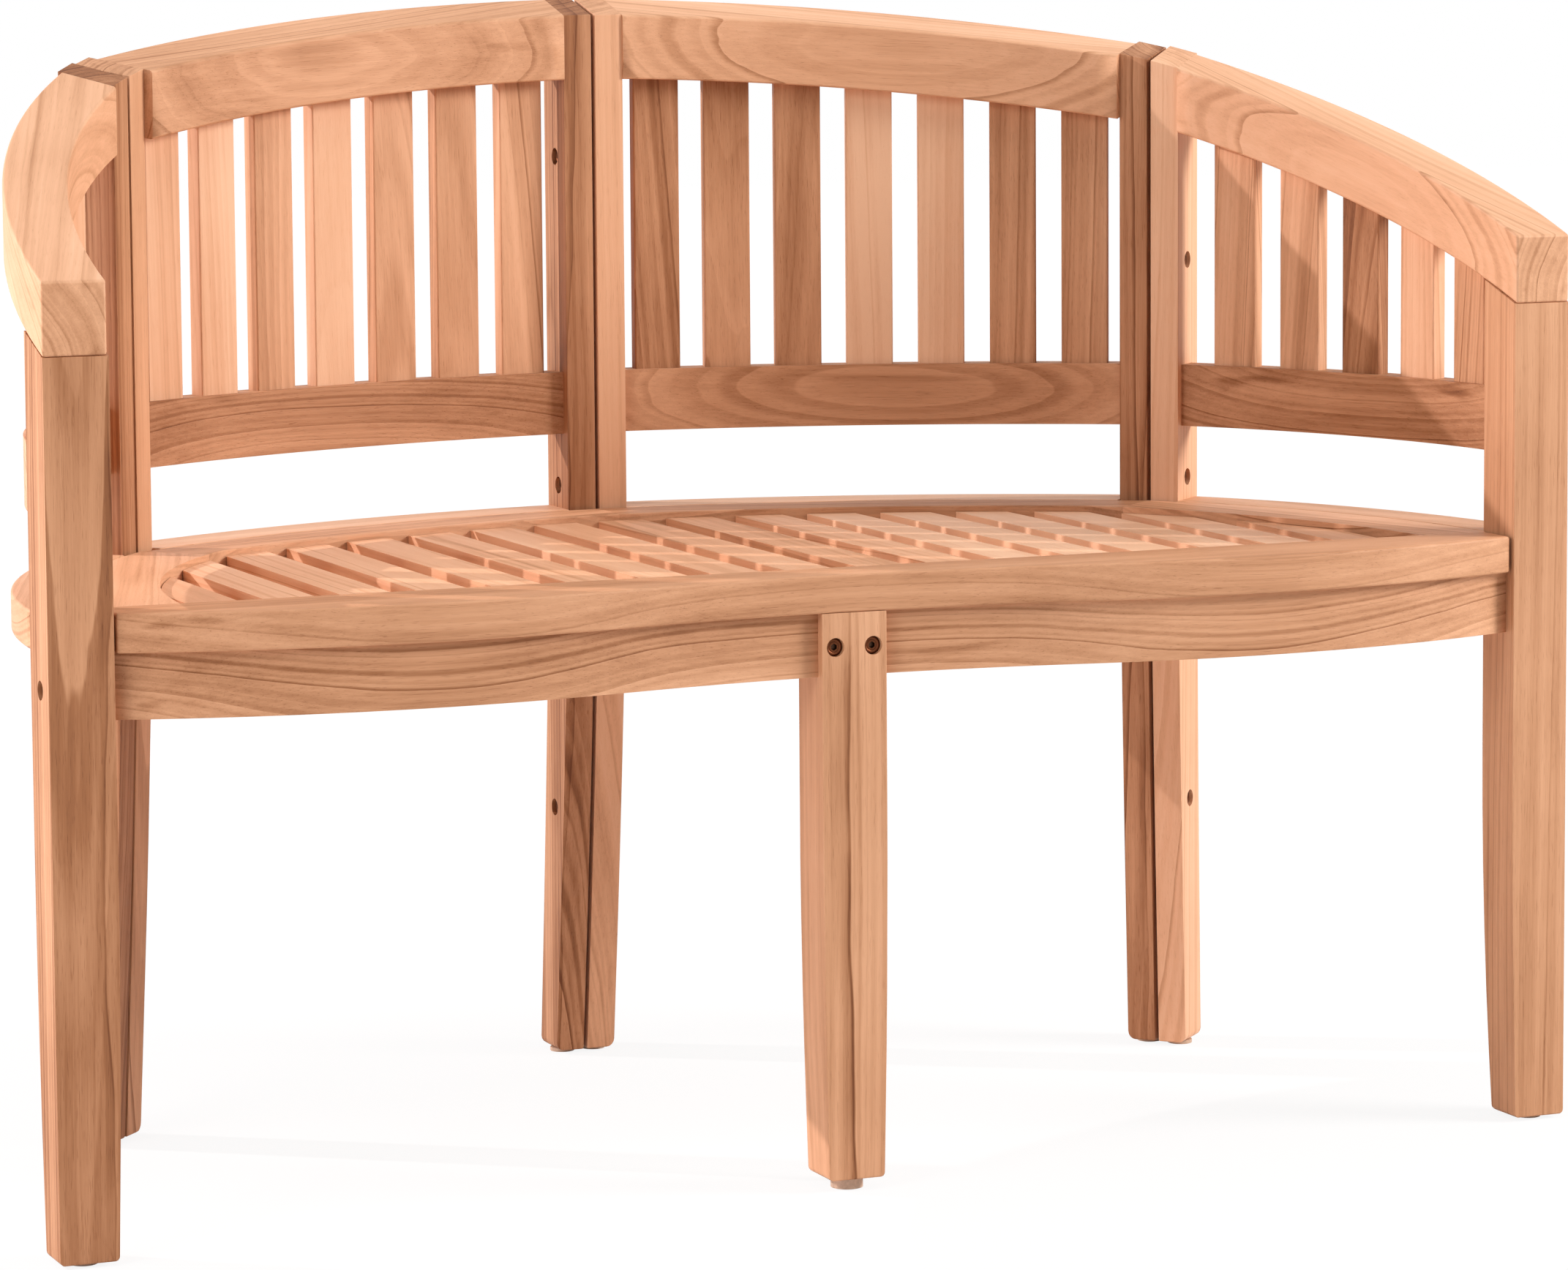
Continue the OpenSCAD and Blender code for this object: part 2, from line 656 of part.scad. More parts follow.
// Slats of a panel.
module back_slat_group(side) color(teak_dark) placed() sided(side) back_slat_set(0);
module arm_slat_group(side) color(teak_dark) placed() sided(side) arm_slat_set(0);

// Seat frame: a straight-backed front rail, two side rails and two back rails round the opening.
module half_moon(arm_out, back_out) intersection() {
    translate(arm_c) circle(arm_frame_r + arm_out);
    translate(back_c) circle(back_frame_r + back_out);
}
module opening_half(grow) half_moon(grow - side_frame_w, grow - back_frame_w);
module seat_ring() intersection() {
    difference() {
        half_moon(0, 0);
        opening_half(0);
    }
    translate([0, front_rail_y]) square([half_w, BIG]);
}
module side_wedge() at_corner() beyond();
module leg_room() translate([leg_in - seat_clear, -1]) square([leg_w + embed, leg_d + seat_clear + 1]);

// Tongues of the seat slats, or their mortises in the frame when grow is the clearance.
tongue_t = 8;
tongue_l = 12;
tongue_side = 5;
tongue_z = slat_low + (seat_slat_t - tongue_t) / 2;
// The arcs of one side bound the slats of that side alone.
module bounded(side, past) {
    sided(side) opening_half(past);
    translate([side == LEFT ? 0 : -BIG, 0]) square([BIG, BIG]);
}
module slat_plan(x, w, past) intersection() {
    translate([x - w / 2, front_rail_y - past]) square([w, BIG]);
    intersection_for (side = [LEFT, RIGHT]) bounded(side, past);
}
module tongue(i, grow) translate([0, 0, tongue_z - grow]) linear_extrude(tongue_t + 2 * grow)
    slat_plan(slat_x(i), seat_slat_w - 2 * tongue_side + 2 * grow, tongue_l + grow);
function slat_x(i) = (i - (SEAT_SLATS + 1) / 2) * seat_pitch;
module seat_slat(i) color(teak_dark) placed() {
    translate([0, 0, slat_low]) linear_extrude(seat_slat_t) slat_plan(slat_x(i), seat_slat_w, -slat_end_gap);
    tongue(i, 0);
}
function slats_between(a, b) = [for (i = [1:SEAT_SLATS]) if (slat_x(i) > a && slat_x(i) < b) i];

module seat_front_rail() color(teak) placed() difference() {
    half_l = leg_in - seat_clear;
    translate([0, 0, seat_low]) linear_extrude(frame_t) intersection() {
        front_region(0);
        translate([-half_l, -reach]) square([2 * half_l, reach + front_rail_y]);
    }
    for (i = [1:SEAT_SLATS]) tongue(i, fit);
}
side_joint_x = corner_x - (side_frame_w + batten_w) * depth_dir[0];
module seat_side_rail(side) color(teak) placed() difference() {
    from = side == LEFT ? -half_w : side_joint_x;
    to = side == LEFT ? -side_joint_x : half_w;
    translate([0, 0, seat_low]) linear_extrude(frame_t) sided(side) difference() {
        intersection() {
            seat_ring();
            side_wedge();
        }
        leg_room();
    }
    for (i = slats_between(from, to)) tongue(i, fit);
}
module seat_back_rail(side) color(teak) placed() difference() {
    from = side == LEFT ? -half_w : -seat_pitch / 2;
    to = side == LEFT ? seat_pitch / 2 : half_w;
    translate([0, 0, seat_low]) linear_extrude(frame_t) sided(side) difference() {
        seat_ring();
        side_wedge();
    }
    for (i = slats_between(from, to)) tongue(i, fit);
}

// Battens that tie the slats together from below and run on under the side rails.
batten_reach = 26;
module batten(y) color(teak_dark) placed() {
    low = slat_low - batten_h;
    edge = pow(arm_frame_r - side_frame_w, 2) - pow(y + batten_w / 2 - arm_c[1], 2);
    inner = arm_c[0] + sqrt(edge) - seat_clear;
    outer = inner + batten_reach;
    translate([-inner, y - batten_w / 2, low]) cube([2 * inner, batten_w, batten_h]);
    translate([-outer, y - batten_w / 2, low]) cube([2 * outer, batten_w, seat_low - low]);
}

// Blocks on the inside of the curved aprons, which the seat frame rests on.
block_l = 60;
block_in = 40;
block_h = 30;
arm_apron_r = arm_r - apron_inset - apron_t;
back_apron_r = back_r - apron_inset - apron_t;
module rest_block(c, r, a) intersection() {
    translate([c[0], c[1], seat_low - block_h]) rotate(a) translate([r - block_in, -block_l / 2, 0])
        cube([block_in + embed, block_l, block_h]);
    translate([c[0], c[1], 0]) cylinder(r = r, h = BIG);
}
module seat_rest_blocks() color(teak_dark) placed() for (side = [LEFT, RIGHT]) sided(side) {
    for (s = [0.3, 0.8]) rest_block(arm_c, arm_apron_r, arm_from + s * (arm_to - arm_from));
    for (s = [0.25, 0.75]) rest_block(back_c, back_apron_r, back_from + s * (back_to - back_from));
}

// Fasteners. In a pair of posts, turn is 90 for the outer end of a bolt hole and -90 for its inner end.
module in_pair(spots, turn) for (p = spots)
    translate(p) rotate([0, turn, 0]) translate([0, 0, pair_face - bore_t]) children();
module bolts() color(steel) placed() {
    translate([0, back_y, 0]) in_pair(middle_spots, -90) bolt(pair_shank);
    for (side = [LEFT, RIGHT]) sided(side) {
        at_corner() in_pair(corner_spots, 90) bolt(pair_shank);
        leg_bolt_at() bolt(leg_shank);
        centre_bolt_at() bolt(centre_shank);
    }
}
module sleeve_nuts() color(steel) placed() {
    translate([0, back_y, 0]) in_pair(middle_spots, 90) sleeve_nut();
    for (side = [LEFT, RIGHT]) sided(side) {
        at_corner() in_pair(corner_spots, -90) sleeve_nut();
        centre_nut_at() sleeve_nut();
    }
}
module cross_dowels() color(steel) placed() for (side = [LEFT, RIGHT]) sided(side) difference() {
    dowel_at() cylinder(d = dowel_d, h = dowel_l, center = true, $fn = bore_fn);
    leg_bolt_hole();
}

// Glides under the nine feet.
module glide(d, h) cylinder(d = d, h = h, $fn = bore_fn);
module glides() color(nylon) placed() {
    post_x = pair_face - post_w / 2;
    translate([0, (centre_front + centre_back(centre_glide_h)) / 2, 0]) glide(centre_glide_d, centre_glide_h);
    for (side = [LEFT, RIGHT]) sided(side) {
        translate([half_w - (leg_w - taper_side) / 2, (leg_d - taper_rear) / 2, 0])
            glide(glide_d, glide_h);
        translate([post_x, back_y + post_mid(0, middle_splay, middle_heel), 0])
            glide(glide_d, glide_h);
        at_corner() for (s = [-1, 1])
            translate([s * post_x, post_mid(0, corner_splay, corner_heel), 0])
                glide(glide_d, glide_h);
    }
}

front_leg(LEFT);  // front_left_leg
front_leg(RIGHT);  // front_right_leg
front_centre_leg();
corner_arm_post(LEFT);  // arm_left_rear_post
corner_arm_post(RIGHT);  // arm_right_rear_post
corner_back_post(LEFT);  // back_left_outer_post
corner_back_post(RIGHT);  // back_right_outer_post
middle_post(LEFT);  // back_left_inner_post
middle_post(RIGHT);  // back_right_inner_post
arm_top_rail(LEFT);  // arm_left_top_rail
arm_top_rail(RIGHT);  // arm_right_top_rail
back_top_rail(LEFT);  // back_left_top_rail
back_top_rail(RIGHT);  // back_right_top_rail
arm_mid_rail(LEFT);  // arm_left_mid_rail
arm_mid_rail(RIGHT);  // arm_right_mid_rail
back_mid_rail(LEFT);  // back_left_mid_rail
back_mid_rail(RIGHT);  // back_right_mid_rail
arm_seat_rail(LEFT);  // arm_left_seat_rail
arm_seat_rail(RIGHT);  // arm_right_seat_rail
back_seat_rail(LEFT);  // back_left_seat_rail
back_seat_rail(RIGHT);  // back_right_seat_rail
arm_apron(LEFT);  // arm_left_apron
arm_apron(RIGHT);  // arm_right_apron
back_apron(LEFT);  // back_left_apron
back_apron(RIGHT);  // back_right_apron
front_apron(LEFT);  // front_left_apron
front_apron(RIGHT);  // front_right_apron
arm_slat_group(LEFT);  // arm_left_slats
arm_slat_group(RIGHT);  // arm_right_slats
back_slat_group(LEFT);  // back_left_slats
back_slat_group(RIGHT);  // back_right_slats
seat_front_rail();
seat_side_rail(LEFT);  // seat_left_side_rail
seat_side_rail(RIGHT);  // seat_right_side_rail
seat_back_rail(LEFT);  // seat_left_back_rail
seat_back_rail(RIGHT);  // seat_right_back_rail
batten(front_batten_y);  // seat_front_batten
batten(rear_batten_y);  // seat_rear_batten
for (i = [1:SEAT_SLATS])
    seat_slat(i);
seat_rest_blocks();
bolts();
sleeve_nuts();
cross_dowels();
glides();
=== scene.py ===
"""Looks of the teak garden bench: solid teak cut from straight boards, bronzed bolts, pale studio."""
import math
import random

import bmesh
import bpy
import numpy as np
from mathutils import Matrix, Vector


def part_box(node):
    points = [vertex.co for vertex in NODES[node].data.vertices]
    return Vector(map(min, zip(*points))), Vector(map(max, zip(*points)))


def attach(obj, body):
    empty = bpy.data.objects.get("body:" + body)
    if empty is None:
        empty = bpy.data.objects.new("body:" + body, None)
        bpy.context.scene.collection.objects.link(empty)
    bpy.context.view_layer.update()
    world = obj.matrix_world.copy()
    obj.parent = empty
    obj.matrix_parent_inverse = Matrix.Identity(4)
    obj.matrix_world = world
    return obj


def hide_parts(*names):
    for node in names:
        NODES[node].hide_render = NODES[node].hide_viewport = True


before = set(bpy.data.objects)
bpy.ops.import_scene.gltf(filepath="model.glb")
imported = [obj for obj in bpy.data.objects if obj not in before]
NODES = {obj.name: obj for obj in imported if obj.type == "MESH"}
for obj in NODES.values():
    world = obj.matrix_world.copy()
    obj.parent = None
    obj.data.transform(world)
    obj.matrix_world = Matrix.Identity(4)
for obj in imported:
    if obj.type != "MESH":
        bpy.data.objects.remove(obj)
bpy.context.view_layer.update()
scene = bpy.context.scene
MM = 0.001


# Small helpers for node trees
def srgb(red, green, blue):
    def linear(c):
        c /= 255
        return c / 12.92 if c <= 0.04045 else ((c + 0.055) / 1.055) ** 2.4
    return (linear(red), linear(green), linear(blue), 1.0)


def put(tree, kind, inputs=None, **settings):
    node = tree.nodes.new(kind)
    for name, value in settings.items():
        setattr(node, name, value)
    for name, value in (inputs or {}).items():
        if isinstance(value, bpy.types.NodeSocket):
            tree.links.new(value, node.inputs[name])
        else:
            node.inputs[name].default_value = value
    return node


def calc(tree, operation, *values, clamp=False):
    inputs = {i: v for i, v in enumerate(values)}
    return put(tree, "ShaderNodeMath", inputs, operation=operation, use_clamp=clamp).outputs[0]


def vector(tree, operation, *values, out=0):
    names = {i: v for i, v in enumerate(values)}
    return put(tree, "ShaderNodeVectorMath", names, operation=operation).outputs[out]


def noise(tree, where, scale, detail=2.0, roughness=0.5, out=0):
    stretched = vector(tree, "MULTIPLY", where, scale)
    inputs = {"Vector": stretched, "Scale": 1.0, "Detail": detail, "Roughness": roughness}
    return put(tree, "ShaderNodeTexNoise", inputs).outputs[out]


def noise_1d(tree, w, detail=1.0):
    inputs = {"W": w, "Scale": 1.0, "Detail": detail}
    return put(tree, "ShaderNodeTexNoise", inputs, noise_dimensions="1D").outputs[0]


def smooth(tree, value, low, high, to_low=0.0, to_high=1.0):
    inputs = {"Value": value, "From Min": low, "From Max": high, "To Min": to_low, "To Max": to_high}
    return put(tree, "ShaderNodeMapRange", inputs, interpolation_type="SMOOTHSTEP").outputs[0]


def ramp(tree, factor, stops, interpolation="LINEAR"):
    node = put(tree, "ShaderNodeValToRGB", {"Fac": factor})
    node.color_ramp.interpolation = interpolation
    elements = node.color_ramp.elements
    while len(elements) < len(stops):
        elements.new(0.5)
    for element, (place, colour) in zip(elements, stops):
        element.position = place
        element.color = colour
    return node.outputs[0]


# Teak. The vector is in metres with the grain along Z and the tree's pith on the Z axis.
TEAK_STOPS = [
    (0.00, srgb(112, 63, 34)),
    (0.22, srgb(158, 104, 68)),
    (0.45, srgb(200, 145, 107)),
    (0.68, srgb(225, 170, 132)),
    (1.00, srgb(241, 193, 157)),
]


# Stretch of each feature's noise across, in depth and along the grain, per metre
STRETCH = {
    "wide": (4, 4, 0.8), "fine": (30, 30, 4.5), "fibre": (620, 620, 7), "streak": (110, 110, 1.6),
    "mineral": (55, 55, 1.3), "cloud": (13, 13, 5), "pore": (1900, 1900, 60), "drift": (5, 5, 3.2),
    "patch": (9, 9, 6),
}
# How far the wide and the fine wander move the rings, in metres
WARP = {"wide": (0.022, 0.022, 0.0), "fine": (0.005, 0.005, 0.0)}
# How far each feature lightens or darkens the wood, on a ramp from 0 to 1 whose middling board is at MIDDLING
WEIGHT = {
    "band": 0.32, "ring": -0.36, "fibre": 0.20, "streak": 0.24, "mineral": -0.22, "cloud": 0.36,
    "pore": -0.10, "end": -0.12,
}
MIDDLING = 0.6
CENTRED = (0.5, 0.5, 0.5)


def teak_group():
    tree = bpy.data.node_groups.new("teak", "ShaderNodeTree")
    sockets = tree.interface
    sockets.new_socket("Vector", in_out="INPUT", socket_type="NodeSocketVector")
    for name in ("Tone", "Spacing", "Figure", "End", "Stain", "Stain At", "Stain Width"):
        sockets.new_socket(name, in_out="INPUT", socket_type="NodeSocketFloat")
    sockets.new_socket("Color", in_out="OUTPUT", socket_type="NodeSocketColor")
    sockets.new_socket("Roughness", in_out="OUTPUT", socket_type="NodeSocketFloat")
    sockets.new_socket("Height", in_out="OUTPUT", socket_type="NodeSocketFloat")
    given = tree.nodes.new("NodeGroupInput").outputs
    result = tree.nodes.new("NodeGroupOutput").inputs

    # A trunk isn't round or straight, so the rings wander.
    place = given["Vector"]
    wide = vector(tree, "SUBTRACT", noise(tree, place, STRETCH["wide"], out=1), CENTRED)
    fine = vector(tree, "SUBTRACT", noise(tree, place, STRETCH["fine"], 3.0, out=1), CENTRED)
    bent = vector(tree, "MULTIPLY_ADD", wide, WARP["wide"], place)
    bent = vector(tree, "MULTIPLY_ADD", fine, WARP["fine"], bent)
    flat = vector(tree, "MULTIPLY", bent, (1, 1, 0))
    radius = vector(tree, "LENGTH", flat, out=1)

    # Years of growth: bands of several widths, and here and there a crisp dark line that fades outwards.
    count = calc(tree, "DIVIDE", radius, given["Spacing"])
    band = put(tree, "ShaderNodeTexNoise", {
        "W": count, "Scale": 0.17, "Detail": 4.0, "Roughness": 0.62}, noise_dimensions="1D").outputs[0]
    band = calc(tree, "SUBTRACT", smooth(tree, band, 0.25, 0.75), 0.5)
    wander = noise_1d(tree, calc(tree, "MULTIPLY", count, 0.4), 2.0)
    count = calc(tree, "MULTIPLY_ADD", wander, 3.0, count)
    share = calc(tree, "FRACT", count)
    number = calc(tree, "FLOOR", count)
    line = calc(tree, "MULTIPLY", smooth(tree, share, 0.0, 0.07), smooth(tree, share, 0.1, 0.75, 1.0, 0.0))
    own = put(tree, "ShaderNodeTexWhiteNoise", {"W": number}, noise_dimensions="1D").outputs[0]
    depth = calc(tree, "MULTIPLY_ADD", calc(tree, "POWER", own, 3.0), 0.85, 0.12)
    ring = calc(tree, "MULTIPLY", line, depth)

    # Fibres, pores, mineral streaks and slow changes of tone
    fibre = calc(tree, "SUBTRACT", noise(tree, bent, STRETCH["fibre"], 3.0, 0.65), 0.5)
    streak = calc(tree, "SUBTRACT", noise(tree, bent, STRETCH["streak"], 3.0, 0.6), 0.5)
    mineral = smooth(tree, noise(tree, bent, STRETCH["mineral"], 2.0), 0.62, 0.8)
    cloud = calc(tree, "SUBTRACT", noise(tree, place, STRETCH["cloud"], 3.0), 0.5)
    pore = smooth(tree, noise(tree, bent, STRETCH["pore"], 1.0), 0.6, 0.74)

    value = calc(tree, "ADD", given["Tone"], MIDDLING)
    figure = calc(tree, "MULTIPLY", band, WEIGHT["band"])
    figure = calc(tree, "MULTIPLY_ADD", ring, WEIGHT["ring"], figure)
    value = calc(tree, "MULTIPLY_ADD", figure, given["Figure"], value)
    features = {"fibre": fibre, "streak": streak, "mineral": mineral, "cloud": cloud, "pore": pore,
                "end": given["End"]}
    for name, feature in features.items():
        value = calc(tree, "MULTIPLY_ADD", feature, WEIGHT[name], value)

    # A dark stain that runs with the grain, crisp on one side
    drift = calc(tree, "SUBTRACT", noise(tree, place, STRETCH["drift"], 3.0), 0.5)
    off = put(tree, "ShaderNodeSeparateXYZ", {"Vector": bent}).outputs[0]
    off = calc(tree, "SUBTRACT", calc(tree, "MULTIPLY_ADD", drift, 0.03, off), given["Stain At"])
    off = calc(tree, "DIVIDE", off, given["Stain Width"])
    stain = calc(tree, "MULTIPLY", smooth(tree, off, -0.12, 0.02), smooth(tree, off, 0.0, 1.0, 1.0, 0.0))
    core = calc(tree, "MULTIPLY", smooth(tree, off, -0.12, 0.0), smooth(tree, off, 0.0, 0.16, 1.0, 0.0))
    stain = calc(tree, "MULTIPLY_ADD", core, 0.8, stain)
    patchy = smooth(tree, noise(tree, place, STRETCH["patch"], 2.0), 0.3, 0.62, 0.25, 1.0)
    stain = calc(tree, "MULTIPLY", calc(tree, "MULTIPLY", stain, patchy), given["Stain"])
    value = calc(tree, "SUBTRACT", value, stain, clamp=True)

    tree.links.new(ramp(tree, value, TEAK_STOPS), result["Color"])
    tree.links.new(calc(tree, "MULTIPLY_ADD", value, -0.12, 0.62), result["Roughness"])
    height = calc(tree, "SUBTRACT", fibre, pore)
    tree.links.new(calc(tree, "MULTIPLY_ADD", ring, -0.4, height), result["Height"])
    return tree


TEAK = teak_group()


def board_axes(grain, face):
    """Rows are the board's across, face and grain directions."""
    along = Vector(grain).normalized()
    front = Vector(face)
    front = (front - front.dot(along) * along).normalized()
    return Matrix((front.cross(along), front, along))


def teak(name, centre, grain, face, pith, tilt=(0.0, 0.0), tone=0.0, spacing=5.0, figure=1.0,
         each=None, tones=None, stain=(0, 10, 0.0)):
    """A material for one board, or for a set of boards that differ by island.
    pith is the place of the tree's middle across and in front of the board's centre, in mm.
    tones is an axis, its two ends and a tone for each slat along it.
    stain is the place and width of a dark streak, in mm across from the centre, and its strength."""
    mat = bpy.data.materials.new("teak_" + name)
    mat.use_nodes = True
    tree = mat.node_tree
    tree.nodes.clear()
    axes = board_axes(grain, face)
    lean = Matrix.Rotation(math.radians(tilt[0]), 3, "X") @ Matrix.Rotation(math.radians(tilt[1]), 3, "Y")
    axes = lean @ axes
    shift = -(axes @ Vector(centre)) - Vector((pith[0] * MM, pith[1] * MM, 0))
    rng = random.Random(name)
    shift.z += rng.uniform(2, 40)
    coordinates = put(tree, "ShaderNodeTexCoord").outputs["Object"]
    mapped = put(tree, "ShaderNodeMapping", {
        "Vector": coordinates, "Location": shift, "Rotation": Vector(axes.to_euler("XYZ"))}).outputs[0]
    geometry = put(tree, "ShaderNodeNewGeometry")
    if each:
        chance = geometry.outputs["Random Per Island"]
        own = put(tree, "ShaderNodeTexWhiteNoise", {"W": chance}, noise_dimensions="1D").outputs["Color"]
        spread = vector(tree, "MULTIPLY", vector(tree, "SUBTRACT", own, CENTRED), each)
        mapped = vector(tree, "ADD", mapped, spread)
    end = vector(tree, "DOT_PRODUCT", geometry.outputs["Normal"], Vector(grain).normalized(), out=1)
    end = smooth(tree, calc(tree, "ABSOLUTE", end), 0.7, 0.95)
    wood = put(tree, "ShaderNodeGroup", node_tree=TEAK)
    wood.inputs["Tone"].default_value = tone
    if tones:
        axis, low, high, values = tones
        part = put(tree, "ShaderNodeSeparateXYZ", {"Vector": coordinates}).outputs[axis]
        part = put(tree, "ShaderNodeMapRange", {"Value": part, "From Min": low, "From Max": high}).outputs[0]
        stops = [(i / len(values), (0.5 + v,) * 3 + (1,)) for i, v in enumerate(values)]
        own_tone = calc(tree, "SUBTRACT", ramp(tree, part, stops, "CONSTANT"), 0.5 - tone)
        tree.links.new(own_tone, wood.inputs["Tone"])
    tree.links.new(mapped, wood.inputs["Vector"])
    tree.links.new(end, wood.inputs["End"])
    wood.inputs["Spacing"].default_value = spacing * MM
    wood.inputs["Figure"].default_value = figure
    wood.inputs["Stain"].default_value = stain[2]
    wood.inputs["Stain At"].default_value = (stain[0] - pith[0]) * MM
    wood.inputs["Stain Width"].default_value = stain[1] * MM
    bump = put(tree, "ShaderNodeBump", {
        "Height": wood.outputs["Height"], "Strength": 0.35, "Distance": 0.0004})
    shader = put(tree, "ShaderNodeBsdfPrincipled", {
        "Base Color": wood.outputs["Color"], "Roughness": wood.outputs["Roughness"],
        "Normal": bump.outputs[0], "Specular IOR Level": 0.25})
    put(tree, "ShaderNodeOutputMaterial", {"Surface": shader.outputs[0]})
    return mat


def dress(name, material):
    obj = NODES[name]
    if not obj.material_slots:
        obj.data.materials.append(material)
    for slot in obj.material_slots:
        slot.material = material


def middle(name):
    low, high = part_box(name)
    return (low + high) / 2


def top_of(name):
    low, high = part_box(name)
    return Vector(((low.x + high.x) / 2, (low.y + high.y) / 2, high.z))


# Doubled points join within WELD, and a point lies in a plane within NEAR_PLANE, in metres.
# Edges sharper than EDGE_ANGLE, in degrees, are eased, and those shorter than BORE_STEP only a little.
WELD = 1e-5
EDGE_ANGLE = 28
NEAR_PLANE = 0.00012
BORE_STEP = 0.004


# Eased edges. The modifier's inputs say which edges of a piece stay crisp because another piece butts there.
def easing_group(planes=4):
    tree = bpy.data.node_groups.new("eased_edges", "GeometryNodeTree")
    sockets = tree.interface
    sockets.new_socket("Geometry", in_out="INPUT", socket_type="NodeSocketGeometry")
    sockets.new_socket("Centre", in_out="INPUT", socket_type="NodeSocketVector")
    sockets.new_socket("Outer", in_out="INPUT", socket_type="NodeSocketFloat")
    sockets.new_socket("Inner", in_out="INPUT", socket_type="NodeSocketFloat")
    for i in range(planes):
        sockets.new_socket(f"Point {i}", in_out="INPUT", socket_type="NodeSocketVector")
        sockets.new_socket(f"Normal {i}", in_out="INPUT", socket_type="NodeSocketVector")
        sockets.new_socket(f"Weight {i}", in_out="INPUT", socket_type="NodeSocketFloat")
    sockets.new_socket("Geometry", in_out="OUTPUT", socket_type="NodeSocketGeometry")
    given = tree.nodes.new("NodeGroupInput").outputs
    result = tree.nodes.new("NodeGroupOutput").inputs
    ends = tree.nodes.new("GeometryNodeInputMeshEdgeVertices").outputs

    def both(test):
        return calc(tree, "MULTIPLY", test(ends["Position 1"]), test(ends["Position 2"]))

    def near(value, target, room=NEAR_PLANE):
        gap = calc(tree, "ABSOLUTE", calc(tree, "SUBTRACT", value, target))
        return calc(tree, "LESS_THAN", gap, room)

    def radial(position):
        arm = vector(tree, "SUBTRACT", position, given["Centre"])
        return vector(tree, "LENGTH", vector(tree, "MULTIPLY", arm, (1, 1, 0)), out=1)

    outer = both(lambda p: near(radial(p), given["Outer"]))
    inner = both(lambda p: near(radial(p), given["Inner"]))
    free = calc(tree, "LESS_THAN", given["Outer"], 0.001)
    weight = calc(tree, "MAXIMUM", free, calc(tree, "MAXIMUM", outer, inner))
    for i in range(planes):
        def on_plane(position, i=i):
            arm = vector(tree, "SUBTRACT", position, given[f"Point {i}"])
            return near(vector(tree, "DOT_PRODUCT", arm, given[f"Normal {i}"], out=1), 0.0)
        used = calc(tree, "GREATER_THAN", vector(tree, "LENGTH", given[f"Normal {i}"], out=1), 0.5)
        there = calc(tree, "MULTIPLY", both(on_plane), used)
        change = calc(tree, "SUBTRACT", given[f"Weight {i}"], weight)
        weight = calc(tree, "MULTIPLY_ADD", there, change, weight)
    angle = tree.nodes.new("GeometryNodeInputMeshEdgeAngle").outputs["Unsigned Angle"]
    corner = calc(tree, "GREATER_THAN", angle, math.radians(EDGE_ANGLE))
    run = vector(tree, "DISTANCE", ends["Position 1"], ends["Position 2"], out=1)
    bore = calc(tree, "LESS_THAN", run, BORE_STEP)
    size = calc(tree, "MULTIPLY", calc(tree, "MULTIPLY_ADD", bore, -0.85, 1.0), weight)
    size = calc(tree, "MULTIPLY", size, corner)
    crisp = calc(tree, "MULTIPLY", corner, calc(tree, "LESS_THAN", size, 0.02))
    stored = put(tree, "GeometryNodeStoreNamedAttribute", {
        "Geometry": given["Geometry"], "Name": "bevel_weight_edge", "Value": size},
        data_type="FLOAT", domain="EDGE").outputs[0]
    faces = put(tree, "GeometryNodeSetShadeSmooth", {"Geometry": stored, "Shade Smooth": True},
                domain="FACE").outputs[0]
    edges = put(tree, "GeometryNodeSetShadeSmooth", {
        "Geometry": faces, "Shade Smooth": calc(tree, "SUBTRACT", 1.0, crisp)}, domain="EDGE").outputs[0]
    tree.links.new(edges, result[0])
    return tree


EASING = easing_group()
SOCKETS = {s.name: s.identifier for s in EASING.interface.items_tree
           if s.item_type == "SOCKET" and s.in_out == "INPUT"}


def ease(obj, width, ring=None, planes=()):
    """Rounds obj's edges by width, in mm. ring is the centre and the two radii of a curved rail, whose
    other edges stay crisp. planes are (point, normal, share of the width) for edges that lie in a plane."""
    weld = obj.modifiers.new("weld", "WELD")
    weld.merge_threshold = WELD
    flat = obj.modifiers.new("flat", "DECIMATE")
    flat.decimate_type = "DISSOLVE"
    flat.angle_limit = math.radians(0.3)
    rule = obj.modifiers.new("rule", "NODES")
    rule.node_group = EASING
    if ring:
        rule[SOCKETS["Centre"]] = list(ring[0])
        rule[SOCKETS["Outer"]] = ring[1]
        rule[SOCKETS["Inner"]] = ring[2]
    for i, (point, normal, share) in enumerate(planes):
        rule[SOCKETS[f"Point {i}"]] = list(point)
        rule[SOCKETS[f"Normal {i}"]] = list(Vector(normal).normalized())
        rule[SOCKETS[f"Weight {i}"]] = share
    bevel = obj.modifiers.new("bevel", "BEVEL")
    bevel.limit_method = "WEIGHT"
    bevel.width = width * MM
    bevel.segments = 3
    bevel.miter_outer = "MITER_ARC"
    normals = obj.modifiers.new("normals", "WEIGHTED_NORMAL")
    normals.keep_sharp = True
    normals.weight = 70


